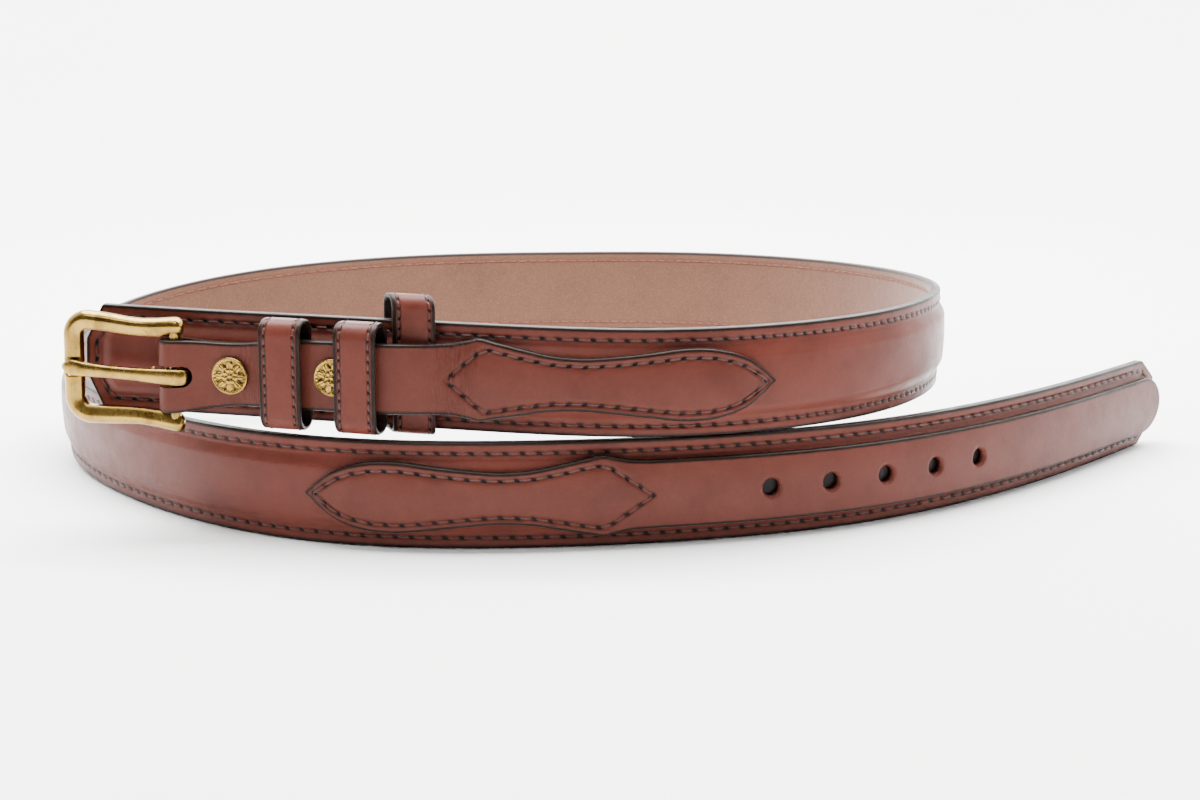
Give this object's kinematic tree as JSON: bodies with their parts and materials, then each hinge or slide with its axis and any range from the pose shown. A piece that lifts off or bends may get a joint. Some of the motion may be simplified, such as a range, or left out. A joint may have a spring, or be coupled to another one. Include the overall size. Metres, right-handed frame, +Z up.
{
  "type": "ranger belt",
  "caption": "Padded leather ranger belt coiled on edge, with narrow sewn-on buckle and tip straps, keeper loops, screws and a brass prong buckle.",
  "frame": {"origin": "under the middle of the coiled belt, on the surface that it stands on", "axes": "+Z up, +X to the right along the front run towards the tip, +Y away from the buckle side into the coil"},
  "size_m": [0.4878, 0.2454, 0.0879],
  "materials": {
    "leather": "smooth polished red-brown leather",
    "strap": "smooth polished red-brown leather with dark dyed edges",
    "keeper": "smooth polished red-brown leather with dark dyed edges",
    "lining": "matt tan suede side",
    "brass": "cast and brushed solid brass"
  },
  "bodies": {
    "straps": {"belt_outer": "leather", "belt_lining": "lining", "tip_strap": "strap", "buckle_strap": "strap", "concho_1": "brass", "concho_2": "brass", "keeper_1": "keeper", "keeper_2": "keeper", "wide_keeper": "keeper"},
    "frame": {"buckle_frame": "brass"},
    "prong": {"prong": "brass"}
  },
  "joints": [
    {"name": "frame_swing", "type": "hinge", "parent": "straps", "child": "frame", "pos_m": [-0.15729, -0.09644, 0.05782], "axis": [0.0374, -0.0046, 0.9993], "range_deg": [0, 60]},
    {"name": "prong_swing", "type": "hinge", "parent": "frame", "child": "prong", "pos_m": [-0.15729, -0.09644, 0.05782], "axis": [0.0374, -0.0046, 0.9993], "range_deg": [0, 40]}
  ]
}
